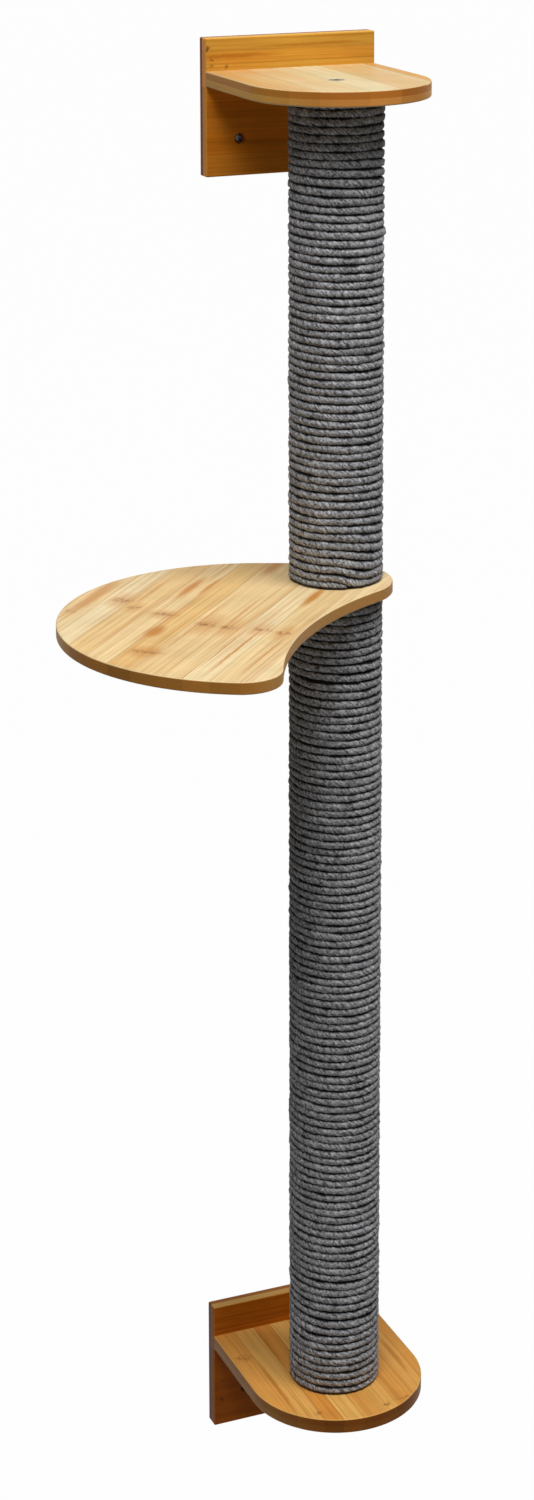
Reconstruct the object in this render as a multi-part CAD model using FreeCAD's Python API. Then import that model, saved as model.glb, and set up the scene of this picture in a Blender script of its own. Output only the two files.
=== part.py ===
"""Wall mounted cat tree: two bamboo wall brackets hold a roped post in two sections,
and a leaf-shaped bamboo platform is clamped between the sections on a stud.

Millimetres. +Z is up, +Y points into the wall and +X to the right as one faces it. The origin
is the centre of the lower wall plate's back face, so the wall is the plane y = 0.
"""
import FreeCAD, Part
import math
import os

from FreeCAD import Vector

# ---------------------------------------------------------------- driving dimensions
# brackets: one design, used at the top and at the bottom
plate_width = 180.0          # along X, and the shelf is as wide
plate_height = 136.0
board = 15.0                 # thickness of the bracket boards
shelf_drop = 32.0            # from the plate's top edge down to the shelf's top face
post_reach = 125.0           # from the wall to the post's axis
bracket_rise = 1342.0        # from the lower bracket to the upper one
board_easing = 1.5           # rounding of the sawn edges

# platform: the outline is a small circle at the post, a large one at the leaf and one at the tip
platform_drop = 521.0        # from the upper plate's top edge down to the platform's top face
platform_board = 12.0
neck_radius = 57.0
neck_centre = (-4.0, -6.0)   # from the post's axis
leaf_radius = 186.0
leaf_centre = (-124.0, -95.0)
tip_radius = 37.0
tip_angle = -117.0           # direction of the tip, seen from the leaf's centre, in degrees
waist_radius = 365.0         # the hollow front edge between the neck and the tip

# post
tube_radius = 38.0           # 76 mm paper tube
tube_wall = 5.0
rope_diameter = 7.6          # 8 mm rope, drawn this thin so that its turns stay apart
rope_pitch = 8.05
wound_turns = 24             # turns drawn one by one, next to the platform
rope_seat = 0.2              # between the tube and the rope
rope_end_gap = 1.0           # between a winding and the board next to it

# end caps and their inserts
cap_flange = 3.0
cap_depth = 22.0             # of the spigot in the tube
cap_wall = 3.0
cap_boss_radius = 11.0
cap_rib = 2.5
cap_ribs = 6
insert_radius = 5.5
insert_length = 14.0
insert_setback = 1.0         # below the cap's outer face

# M8 bolts and stud
thread_radius = 3.9          # over the crests
insert_bore = 4.0
bolt_hole = 4.25             # in the bamboo
bolt_length = 35.0
bolt_head_radius = 8.0
bolt_head_sink = 0.3         # below the board's face
bolt_socket = 5.0            # across the flats
bolt_socket_depth = 3.2
stud_length = 50.0

# wall screws
wall_screw_spacing = 108.0
wall_screw_drop = 99.5       # from the plate's top edge
wall_screw_radius = 2.5      # over the thread, which starts at the wall
wall_screw_neck_radius = 1.9  # of the smooth neck in the plate
wall_screw_length = 60.0
wall_screw_head_radius = 4.0
wall_screw_head = 2.6
wall_screw_hole = 2.75
counterbore_radius = 5.5
counterbore_depth = 6.0

# shelf screws and dowels, through the plate's back into the shelf's edge
shelf_screw_x = (-70.0, 0.0, 70.0)
shelf_screw_radius = 2.25
shelf_screw_length = 50.0
shelf_screw_head_radius = 4.5
shelf_screw_sink = 0.3
dowel_x = (-35.0, 35.0)
dowel_radius = 4.0
dowel_length = 30.0
dowel_in_plate = 10.0

point_length = 5.0           # of a wood screw's tip
cross_recess = (1.2, 4.4, 1.8)   # width, length and depth of a cross recess's arms
fit_gap = 0.05               # round what is pressed or screwed into its hole

# ---------------------------------------------------------------- places worked out from them
lower_top = plate_height / 2
upper_top = lower_top + bracket_rise
lower_shelf_top = lower_top - shelf_drop
upper_shelf_top = upper_top - shelf_drop
upper_shelf_bottom = upper_shelf_top - board
platform_top = upper_top - platform_drop
platform_bottom = platform_top - platform_board
post_axis = Vector(0, -post_reach, 0)
rope_centre_radius = tube_radius + rope_seat + rope_diameter / 2
rope_outer_radius = rope_centre_radius + rope_diameter / 2
rope_rise = -rope_pitch      # per turn to the right, seen from the front: it winds down to the right

UP = Vector(0, 0, 1)
DOWN = Vector(0, 0, -1)
TO_WALL = Vector(0, 1, 0)
FROM_WALL = Vector(0, -1, 0)


def on_post(z):
    """The point of the post's axis at height z."""
    return Vector(post_axis.x, post_axis.y, z)


def rod(radius, length, start, along):
    return Part.makeCylinder(radius, length, start, along)


def cone(radius_start, radius_end, length, start, along):
    return Part.makeCone(radius_start, radius_end, length, start, along)


def prism(wire, height):
    return Part.Face(wire).extrude(Vector(0, 0, height))


def eased(solid, radius, keep):
    """Round the straight and curved edges of a board, all but those that keep() names."""
    edges = [edge for edge in solid.Edges if not keep(edge)]
    return solid.makeFillet(radius, edges)


# ---------------------------------------------------------------- fasteners
def cross_cutter(start, along):
    """The two crossed slots of a screw's drive, sunk from start along the screw."""
    width, length, depth = cross_recess
    cutter = None
    for size in ((width, length), (length, width)):
        arm = Part.makeBox(size[0], size[1], depth, Vector(-size[0] / 2, -size[1] / 2, 0))
        cutter = arm if cutter is None else cutter.fuse(arm)
    cutter.Placement = FreeCAD.Placement(start, FreeCAD.Rotation(UP, along))
    return cutter


def countersunk_screw(start, along):
    """A wood screw whose flat head starts at start."""
    head_height = shelf_screw_head_radius - shelf_screw_radius
    shank = shelf_screw_length - head_height - point_length
    head = cone(shelf_screw_head_radius, shelf_screw_radius, head_height, start, along)
    body = rod(shelf_screw_radius, shank, start + along * head_height, along)
    tip = cone(shelf_screw_radius, 0.0, point_length, start + along * (head_height + shank), along)
    return head.fuse([body, tip]).cut(cross_cutter(start, along)).removeSplitter()


def pan_head_screw(seat, along):
    """A wall screw whose head rests on seat and whose point lies along from it."""
    neck_length = board - counterbore_depth
    thread_length = wall_screw_length - neck_length - point_length
    neck = rod(wall_screw_neck_radius, neck_length, seat, along)
    thread = rod(wall_screw_radius, thread_length, seat + along * neck_length, along)
    point = seat + along * (neck_length + thread_length)
    tip = cone(wall_screw_radius, 0.0, point_length, point, along)
    head = rod(wall_screw_head_radius, wall_screw_head, seat - along * wall_screw_head, along)
    crown = [edge for edge in head.Edges if edge.Closed
             and (edge.CenterOfMass - seat).dot(along) < -wall_screw_head / 2]
    head = head.makeFillet(wall_screw_head / 2, crown)
    screw = head.fuse([neck, thread, tip])
    return screw.cut(cross_cutter(seat - along * wall_screw_head, along)).removeSplitter()


def socket_bolt(face, along):
    """A countersunk M8 bolt with a hex socket, its head just below face."""
    start = face + along * bolt_head_sink
    head_height = bolt_head_radius - thread_radius
    head = cone(bolt_head_radius, thread_radius, head_height, start, along)
    shank = rod(thread_radius, bolt_length - head_height, start + along * head_height, along)
    corner = bolt_socket / math.sqrt(3)
    hexagon = [Vector(corner * math.cos(math.radians(60 * k)), corner * math.sin(math.radians(60 * k)), 0)
               for k in range(7)]
    socket = prism(Part.makePolygon(hexagon), bolt_socket_depth)
    socket.Placement = FreeCAD.Placement(start, FreeCAD.Rotation(UP, along))
    return head.fuse(shank).cut(socket).removeSplitter()


def bolt_clearance(face, along):
    """The countersunk hole through a shelf for a socket bolt."""
    wide = bolt_head_radius + bolt_head_sink + fit_gap
    sink = cone(wide, bolt_hole, wide - bolt_hole, face, along)
    return sink.fuse(rod(bolt_hole, board, face, along))


# ---------------------------------------------------------------- brackets
def wall_plate(top):
    """A wall plate with its top edge at height top, drilled for its screws and dowels."""
    corner = Vector(-plate_width / 2, -board, top - plate_height)
    plate = Part.makeBox(plate_width, board, plate_height, corner)
    plate = eased(plate, board_easing, lambda edge: edge.CenterOfMass.y > -board_easing)
    holes = []
    for x in wall_screw_places():
        mouth = Vector(x, -board, top - wall_screw_drop)
        holes.append(rod(counterbore_radius, counterbore_depth, mouth, TO_WALL))
        holes.append(rod(wall_screw_hole, board, mouth, TO_WALL))
    middle = top - shelf_drop - board / 2
    for x in shelf_screw_x:
        wide = shelf_screw_head_radius + shelf_screw_sink
        narrow = shelf_screw_radius + fit_gap
        holes.append(cone(wide, narrow, wide - narrow, Vector(x, 0, middle), FROM_WALL))
        holes.append(rod(narrow, board, Vector(x, 0, middle), FROM_WALL))
    for x in dowel_x:
        holes.append(rod(dowel_radius + fit_gap, dowel_in_plate, Vector(x, -board, middle), TO_WALL))
    return plate.cut(holes)


def shelf_board(top, bolt_face, bolt_along):
    """A shelf with its top face at height top: straight sides, and a half round about the post."""
    half = plate_width / 2
    bottom = top - board
    back_left = Vector(-half, -board, bottom)
    back_right = Vector(half, -board, bottom)
    front_left = Vector(-half, -post_reach, bottom)
    front_right = Vector(half, -post_reach, bottom)
    nose = Vector(0, -post_reach - half, bottom)
    outline = Part.Wire([
        Part.LineSegment(back_right, back_left).toShape(),
        Part.LineSegment(back_left, front_left).toShape(),
        Part.Arc(front_left, nose, front_right).toShape(),
        Part.LineSegment(front_right, back_right).toShape(),
    ])
    slab = prism(outline, board)

    def stays_sharp(edge):
        upright = abs(edge.CenterOfMass.z - (bottom + board / 2)) < board_easing
        return upright or edge.CenterOfMass.y > -board - board_easing

    slab = eased(slab, board_easing, stays_sharp)
    holes = [bolt_clearance(bolt_face, bolt_along)]
    middle = bottom + board / 2
    for x in shelf_screw_x:
        depth = shelf_screw_length - board + fit_gap * 2 + shelf_screw_sink
        holes.append(rod(shelf_screw_radius + fit_gap, depth, Vector(x, -board, middle), FROM_WALL))
    for x in dowel_x:
        depth = dowel_length - dowel_in_plate + fit_gap * 2
        holes.append(rod(dowel_radius + fit_gap, depth, Vector(x, -board, middle), FROM_WALL))
    return slab.cut(holes)


def wall_screw_places():
    return (-wall_screw_spacing / 2, wall_screw_spacing / 2)


def wall_screws(top):
    seat_y = -board + counterbore_depth
    return [pan_head_screw(Vector(x, seat_y, top - wall_screw_drop), TO_WALL) for x in wall_screw_places()]


def shelf_screws(top):
    middle = top - shelf_drop - board / 2
    return [countersunk_screw(Vector(x, -shelf_screw_sink, middle), FROM_WALL) for x in shelf_screw_x]


def shelf_dowels(top):
    middle = top - shelf_drop - board / 2
    start = -board + dowel_in_plate
    return [rod(dowel_radius, dowel_length, Vector(x, start, middle), FROM_WALL) for x in dowel_x]


# ---------------------------------------------------------------- platform
def circles_meet(centre_a, radius_a, centre_b, radius_b, side):
    """One of the two points where two circles cross; side is +1 for left of a to b, else -1."""
    across = centre_b - centre_a
    apart = across.Length
    along = (radius_a ** 2 - radius_b ** 2 + apart ** 2) / (2 * apart)
    height = math.sqrt(radius_a ** 2 - along ** 2)
    unit = across * (1 / apart)
    return centre_a + unit * along + Vector(-unit.y, unit.x, 0) * (side * height)


def towards(start, end, length):
    """The point at that length from start on the line to end."""
    return start + (end - start) * (length / (end - start).Length)


def arc_about(centre, radius, start, end, bulge):
    """The arc from start to end about centre, on the side that the direction bulge points to."""
    middle = (start + end) * 0.5 - centre
    if middle.dot(bulge) < 0:
        middle = middle * -1
    return Part.Arc(start, towards(centre, centre + middle, radius), end).toShape()


def platform_outline(z):
    """Neck, hollow front edge, tip, leaf and the straight back edge, all tangent."""
    post = on_post(z)
    neck = post + Vector(neck_centre[0], neck_centre[1], 0)
    leaf = post + Vector(leaf_centre[0], leaf_centre[1], 0)
    turn = math.radians(tip_angle)
    tip = leaf + Vector(math.cos(turn), math.sin(turn), 0) * (leaf_radius - tip_radius)
    waist = circles_meet(neck, neck_radius + waist_radius, tip, tip_radius + waist_radius, 1)
    # the straight back edge is the common tangent of neck and leaf on the wall's side
    across = leaf - neck
    swing = math.acos((neck_radius - leaf_radius) / across.Length)
    heading = math.atan2(across.y, across.x) - swing
    normal = Vector(math.cos(heading), math.sin(heading), 0)
    neck_back = neck + normal * neck_radius
    leaf_back = leaf + normal * leaf_radius
    neck_front = towards(neck, waist, neck_radius)
    tip_front = towards(tip, waist, tip_radius)
    tip_leaf = towards(leaf, tip, leaf_radius)
    return Part.Wire([
        arc_about(neck, neck_radius, neck_back, neck_front, neck - leaf),
        arc_about(waist, waist_radius, neck_front, tip_front, leaf - waist),
        arc_about(tip, tip_radius, tip_front, tip_leaf, tip - leaf),
        arc_about(leaf, leaf_radius, tip_leaf, leaf_back, leaf - neck),
        Part.LineSegment(leaf_back, neck_back).toShape(),
    ])


def platform_board_solid():
    slab = prism(platform_outline(platform_bottom), platform_board)
    middle = platform_bottom + platform_board / 2
    slab = eased(slab, board_easing, lambda edge: abs(edge.CenterOfMass.z - middle) < board_easing)
    return slab.cut(rod(bolt_hole, platform_board, on_post(platform_bottom), UP))


# ---------------------------------------------------------------- post sections
def end_cap(face_z, inward):
    """A moulded cap: its flange closes the tube at face_z, its spigot stands inward in the tube."""
    face = on_post(face_z)
    spigot_radius = tube_radius - tube_wall - 2 * fit_gap
    flange = rod(tube_radius, cap_flange, face, inward)
    root = face + inward * cap_flange
    hollow = rod(spigot_radius - cap_wall, cap_depth, root, inward)
    skirt = rod(spigot_radius, cap_depth, root, inward).cut(hollow)
    boss = rod(cap_boss_radius, cap_depth, root, inward)
    cap = flange.fuse([skirt, boss])
    low = root.z if inward.z > 0 else root.z - cap_depth
    for k in range(cap_ribs):
        rib = Part.makeBox(spigot_radius - cap_wall / 2, cap_rib, cap_depth, Vector(0, -cap_rib / 2, 0))
        rib.rotate(Vector(0, 0, 0), UP, 360.0 / cap_ribs * k)
        rib.translate(on_post(low))
        cap = cap.fuse(rib)
    bore = rod(insert_radius + fit_gap, cap_flange + cap_depth, face, inward)
    return cap.cut(bore).removeSplitter()


def threaded_insert(face_z, inward):
    start = on_post(face_z) + inward * insert_setback
    bore = rod(insert_bore, insert_length, start, inward)
    return rod(insert_radius, insert_length, start, inward).cut(bore)


def post_tube(bottom, top):
    length = top - bottom - 2 * cap_flange
    start = on_post(bottom + cap_flange)
    return rod(tube_radius, length, start, UP).cut(rod(tube_radius - tube_wall, length, start, UP))


# ---------------------------------------------------------------- rope
def helix_point(angle, start_z):
    """A point of the rope's centre line."""
    return Vector(rope_centre_radius * math.cos(angle), -post_reach + rope_centre_radius * math.sin(angle),
                  start_z + rope_rise * angle / (2 * math.pi))


def helix_tangent(angle):
    way = Vector(-rope_centre_radius * math.sin(angle), rope_centre_radius * math.cos(angle),
                 rope_rise / (2 * math.pi))
    return way * (1 / way.Length)


def biarc(start, start_way, end, end_way):
    """Two tangent arcs from start to end that keep both directions."""
    chord = end - start
    ways = start_way + end_way
    a = 2 * (1 - start_way.dot(end_way))
    b = 2 * chord.dot(ways)
    c = -chord.dot(chord)
    reach = (-b + math.sqrt(b * b - 4 * a * c)) / (2 * a)
    corner_a = start + start_way * reach
    corner_b = end - end_way * reach
    join = (corner_a + corner_b) * 0.5
    return [tangent_arc(start, corner_a, join), tangent_arc(join, corner_b, end)]


def tangent_arc(start, corner, end):
    """The arc that leaves start towards corner and comes to end from it."""
    middle = (start + end) * 0.5
    half_chord = (end - start).Length / 2
    leg = (corner - start).Length
    height = (corner - middle).Length
    radius = half_chord * leg / height
    sagitta = radius - math.sqrt(radius * radius - half_chord * half_chord)
    return Part.Arc(start, towards(middle, corner, sagitta), end)


def rope_path(start_z):
    """Centre line of the wound rope: a straight end, half turns as biarcs, a straight end."""
    curves = []
    half_turns = 2 * wound_turns
    first_way = helix_tangent(0.0)
    first = helix_point(0.0, start_z)
    curves.append(Part.LineSegment(first - first_way * rope_diameter, first))
    for k in range(half_turns):
        a = math.pi * k
        b = math.pi * (k + 1)
        curves += biarc(helix_point(a, start_z), helix_tangent(a), helix_point(b, start_z), helix_tangent(b))
    last_angle = math.pi * half_turns
    last = helix_point(last_angle, start_z)
    curves.append(Part.LineSegment(last, last + helix_tangent(last_angle) * rope_diameter))
    return curves


def least_gap(curves):
    """Least distance between the surfaces of turns of one tube, on points 3 degrees apart or less."""
    steps = 30
    points = []
    for curve in curves:
        span = curve.LastParameter - curve.FirstParameter
        points += [curve.value(curve.FirstParameter + span * k / steps) for k in range(steps)]
    turn = 4 * steps
    least = None
    for i, point in enumerate(points):
        for other in points[i + turn // 2:i + turn * 3 // 2]:
            apart = (other - point).Length
            least = apart if least is None else min(least, apart)
    return least - rope_diameter


def wound_rope(start_z, label):
    """One unbroken tube of rope, wound on the post from start_z down."""
    curves = rope_path(start_z)
    print("%s: %d turns drawn, least gap %.2f mm" % (label, wound_turns, least_gap(curves)))
    path = Part.Wire([curve.toShape() for curve in curves])
    first = curves[0].StartPoint
    profile = Part.Wire(Part.Circle(first, helix_tangent(0.0), rope_diameter / 2).toShape())
    shell = Part.BRepOffsetAPI.MakePipeShell(path)
    shell.add(profile)
    shell.build()
    shell.makeSolid()
    return shell.shape()


def winding(bottom, top, platform_end, label):
    """The rope of one section: turns next to the platform, and a plain sleeve for the others."""
    wound = wound_turns * rope_pitch
    half = rope_diameter / 2
    if platform_end == "bottom":
        start_z = bottom + rope_end_gap + half + wound
        low = start_z + half + rope_end_gap
        high = top - rope_end_gap
    else:
        start_z = top - rope_end_gap - half
        low = bottom + rope_end_gap
        high = start_z - wound - half - rope_end_gap
    turns = wound_rope(start_z, label)
    sleeve = rod(rope_outer_radius, high - low, on_post(low), UP)
    sleeve = sleeve.cut(rod(tube_radius + rope_seat, high - low, on_post(low), UP))
    return [turns, sleeve]


# ---------------------------------------------------------------- the nodes
def bracket_nodes(name, top, bolt_face, bolt_along):
    shelf_top = top - shelf_drop
    return {
        name + "_wall_plate": [wall_plate(top)],
        name + "_shelf": [shelf_board(shelf_top, bolt_face, bolt_along)],
        name + "_wall_screws": wall_screws(top),
        name + "_shelf_screws": shelf_screws(top),
        name + "_shelf_dowels": shelf_dowels(top),
    }


def section_nodes(name, bottom, top, platform_end):
    return {
        name + "_post_tube": [post_tube(bottom, top)],
        name + "_tube_bottom_cap": [end_cap(bottom, UP)],
        name + "_tube_top_cap": [end_cap(top, DOWN)],
        name + "_post_inserts": [threaded_insert(bottom, UP), threaded_insert(top, DOWN)],
        name + "_rope": winding(bottom, top, platform_end, name + "_rope"),
    }


def all_nodes():
    top_face = on_post(upper_shelf_top)
    bottom_face = on_post(lower_shelf_top - board)
    stud_start = on_post(platform_bottom + platform_board / 2 - stud_length / 2)
    nodes = {}
    nodes.update(bracket_nodes("upper", upper_top, top_face, DOWN))
    nodes.update(bracket_nodes("lower", lower_top, bottom_face, UP))
    nodes.update(section_nodes("upper", platform_top, upper_shelf_bottom, "bottom"))
    nodes.update(section_nodes("lower", lower_shelf_top, platform_bottom, "top"))
    nodes["top_bolt"] = [socket_bolt(top_face, DOWN)]
    nodes["bottom_bolt"] = [socket_bolt(bottom_face, UP)]
    nodes["platform_stud"] = [rod(thread_radius, stud_length, stud_start, UP)]
    nodes["platform"] = [platform_board_solid()]
    return nodes


def main():
    os.makedirs("parts", exist_ok=True)
    for name, solids in all_nodes().items():
        shape = solids[0] if len(solids) == 1 else Part.makeCompound(solids)
        print("%-24s %d solid(s), volume %.1f cm3, valid %s"
              % (name, len(shape.Solids), shape.Volume / 1000, shape.isValid()))
        shape.exportStep("parts/" + name + ".step")


main()
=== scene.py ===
"""Looks of the wall mounted cat tree: bamboo boards, grey wound rope and zinc plated hardware.

Metres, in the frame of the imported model: +Z is up, +Y points into the wall and +X to the right.
"""
import logging
import math
from collections.abc import Callable
from dataclasses import dataclass
from enum import Enum
from functools import partial
from typing import Any

import bpy
import numpy as np
from bpy.types import Material, Node, NodeSocket, NodeTree, Object
from mathutils import Matrix, Vector

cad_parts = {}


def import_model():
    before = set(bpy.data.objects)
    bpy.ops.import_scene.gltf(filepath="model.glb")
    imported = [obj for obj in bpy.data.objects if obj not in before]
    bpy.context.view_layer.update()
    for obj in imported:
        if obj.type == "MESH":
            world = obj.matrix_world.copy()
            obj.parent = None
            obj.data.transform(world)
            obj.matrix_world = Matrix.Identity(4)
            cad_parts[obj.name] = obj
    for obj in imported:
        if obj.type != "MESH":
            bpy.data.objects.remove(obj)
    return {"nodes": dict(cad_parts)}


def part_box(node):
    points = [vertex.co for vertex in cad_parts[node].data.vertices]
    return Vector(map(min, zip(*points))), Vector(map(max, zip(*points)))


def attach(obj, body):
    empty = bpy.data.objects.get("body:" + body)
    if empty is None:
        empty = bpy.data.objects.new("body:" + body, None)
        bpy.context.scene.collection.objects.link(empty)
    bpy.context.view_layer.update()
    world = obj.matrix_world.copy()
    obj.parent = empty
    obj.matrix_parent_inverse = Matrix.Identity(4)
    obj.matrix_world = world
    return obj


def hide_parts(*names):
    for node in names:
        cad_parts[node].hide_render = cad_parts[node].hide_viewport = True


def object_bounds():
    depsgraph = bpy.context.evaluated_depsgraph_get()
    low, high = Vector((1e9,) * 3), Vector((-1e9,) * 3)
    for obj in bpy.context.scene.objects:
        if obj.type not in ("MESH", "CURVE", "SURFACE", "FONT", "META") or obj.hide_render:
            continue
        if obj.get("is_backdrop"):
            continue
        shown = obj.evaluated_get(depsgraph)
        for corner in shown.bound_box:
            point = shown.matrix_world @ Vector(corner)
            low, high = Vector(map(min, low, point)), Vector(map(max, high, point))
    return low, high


LOG = logging.getLogger("cat_tree")
MM = 0.001
FULL_TURN = 2.0 * math.pi
Put = Callable[..., Node]
Spot = tuple[float, float, float]
Pairs = tuple[tuple[float, float], ...]

# the figures seen on the platform: millimetres along and across its grain from the post's axis, then
# length along the grain, width across it and strength
PLATFORM_NODES = (
    (-142, 166, 14, 24, 0.9), (-160, 146, 9, 18, 0.7), (-171, 112, 8, 28, 0.8),
    (-281, 84, 9, 32, 1), (-186, 62, 18, 24, 0.9), (-188, 40, 16, 20, 0.9),
    (-184, 8, 11, 22, 0.8), (-187, -14, 13, 18, 0.85), (-191, 198, 10, 14, 0.7))
PLATFORM_STREAKS = (
    (-222, 99, 40, 17, 1), (-82, 120, 80, 11, 0.9), (-72, 104, 70, 7, 0.8),
    (-70, -2, 70, 11, 0.9), (16, 69, 70, 16, 0.8), (-140, 196, 150, 16, 0.7),
    (-240, 9, 190, 4, 0.8), (-190, 70, 210, 3.5, 0.7), (-235, 22, 160, 3, 0.7),
    (-150, 44, 150, 5, 0.6), (-245, -20, 150, 3, 0.6), (-110, 150, 110, 5, 0.5))
# where the upper rope stands out a little: the angle about the post, the height and by how much
LOOSE_SPOTS = ((math.radians(-24.0), 1.233, 0.30), (math.radians(-29.0), 1.225, -0.15))


class Finish(Enum):
    """The record's material slots."""

    BAMBOO = "bamboo_board"
    ROPE = "grey_rope"
    PAPER = "paper_tube"
    CAP = "cap_plastic"
    BRASS = "insert_brass"
    ZINC = "zinc_steel"
    BEECH = "dowel_beech"


# ---------------------------------------------------------------- small helpers
def srgb(text: str) -> tuple[float, float, float, float]:
    """Turn an sRGB hex colour into linear RGBA.

    Args:
        text: six hex digits, with or without a leading #.

    Returns:
        The linear colour, with an alpha of 1.
    """
    digits = text.lstrip("#")
    channels = [int(digits[k:k + 2], 16) / 255.0 for k in (0, 2, 4)]
    linear = [c / 12.92 if c <= 0.04045 else ((c + 0.055) / 1.055) ** 2.4 for c in channels]
    return (linear[0], linear[1], linear[2], 1.0)


def plug(target: NodeSocket, value: Any) -> None:
    """Give an input a value, or link it.

    Args:
        target: the input.
        value: a value, a socket, or a node, which stands for its first live output.
    """
    if isinstance(value, Node):
        value = next(s for s in value.outputs if s.enabled)
    if isinstance(value, NodeSocket):
        target.id_data.links.new(value, target)
    else:
        target.default_value = value


def add(tree: NodeTree, kind: str, inputs: dict[Any, Any] | None = None, **settings: Any) -> Node:
    """Add a shader node with its settings, values and links.

    Args:
        tree: the node tree.
        kind: the node's type without its ShaderNode prefix.
        inputs: what plug takes, by socket name or index.
        settings: properties of the node, set before its inputs.

    Returns:
        The new node.
    """
    node = tree.nodes.new("ShaderNode" + kind)
    for name, value in settings.items():
        setattr(node, name, value)
    for key, value in (inputs or {}).items():
        live = [s for s in node.inputs if s.enabled]
        plug(live[key] if isinstance(key, int) else next(s for s in live if s.name == key), value)
    return node


def new_material(name: str) -> tuple[Material, Put, Node]:
    """Make a material with an empty Principled shader.

    Args:
        name: the material's name.

    Returns:
        The material, what adds a node to it, and its Principled node.
    """
    material = bpy.data.materials.new(name)
    material.use_nodes = True
    material.node_tree.nodes.clear()
    put = partial(add, material.node_tree)
    shader = put("BsdfPrincipled")
    put("OutputMaterial", {"Surface": shader})
    return material, put, shader


def set_inputs(shader: Node, **values: Any) -> None:
    """Set or link a shader's sockets, written with _ for a space."""
    for name, value in values.items():
        plug(shader.inputs[name.replace("_", " ")], value)


def in_mm(put: Put) -> tuple[Node, Node]:
    """Read the place on the object.

    Args:
        put: adds a node to the material.

    Returns:
        The coordinates' node, and the Object coordinates in millimetres.
    """
    place = put("TexCoord")
    return place, put("VectorMath", {0: place.outputs["Object"], "Scale": 1000.0}, operation="SCALE")


def mottle(put: Put, colour: Any, *patterns: tuple[Any, float, float, float, float]) -> Node:
    """Darken and lighten a colour by patterns.

    Args:
        put: adds a node to the material.
        colour: the colour, as a value or a node.
        patterns: for each, its socket, its low and high value and the factor at each.

    Returns:
        The mottled colour.
    """
    for pattern, low, high, dark, light in patterns:
        shade = put("MapRange", {0: pattern, 1: low, 2: high, 3: dark, 4: light})
        colour = put("Mix", {0: 1.0, "A": colour, "B": shade}, data_type="RGBA", blend_type="MULTIPLY")
    return colour


def dress(node: Object, material: Material) -> None:
    """Give every face of a piece one material."""
    node.data.materials.clear()
    node.data.materials.append(material)


def take(*parts: Object) -> None:
    """Select some pieces alone and make the first one active.

    Args:
        parts: the pieces.
    """
    deselect()
    for part in parts:
        part.select_set(True)
    bpy.context.view_layer.objects.active = parts[0]


def deselect() -> None:
    """Leave edit mode and deselect every object."""
    if bpy.context.object and bpy.context.object.mode != "OBJECT":
        bpy.ops.object.mode_set(mode="OBJECT")
    bpy.ops.object.select_all(action="DESELECT")


def mesh_piece(name: str, points: np.ndarray, faces: list[tuple[int, ...]]) -> Object:
    """Make a mesh object at the origin from points in the frame.

    Args:
        name: the piece's name.
        points: an array of n by 3 coordinates.
        faces: tuples of point numbers, seen from outside in turn.

    Returns:
        The new object, linked to the scene.
    """
    mesh = bpy.data.meshes.new(name)
    mesh.from_pydata(points.tolist(), [], faces)
    mesh.update()
    piece = bpy.data.objects.new(name, mesh)
    bpy.context.scene.collection.objects.link(piece)
    return piece


# ---------------------------------------------------------------- finishes
@dataclass(frozen=True)
class Mark:
    """A figure in the wood, in millimetres: where it lies, its length along the grain and width across."""

    x: float
    y: float
    z: float
    length: float
    width: float
    strength: float = 1.0


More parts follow.
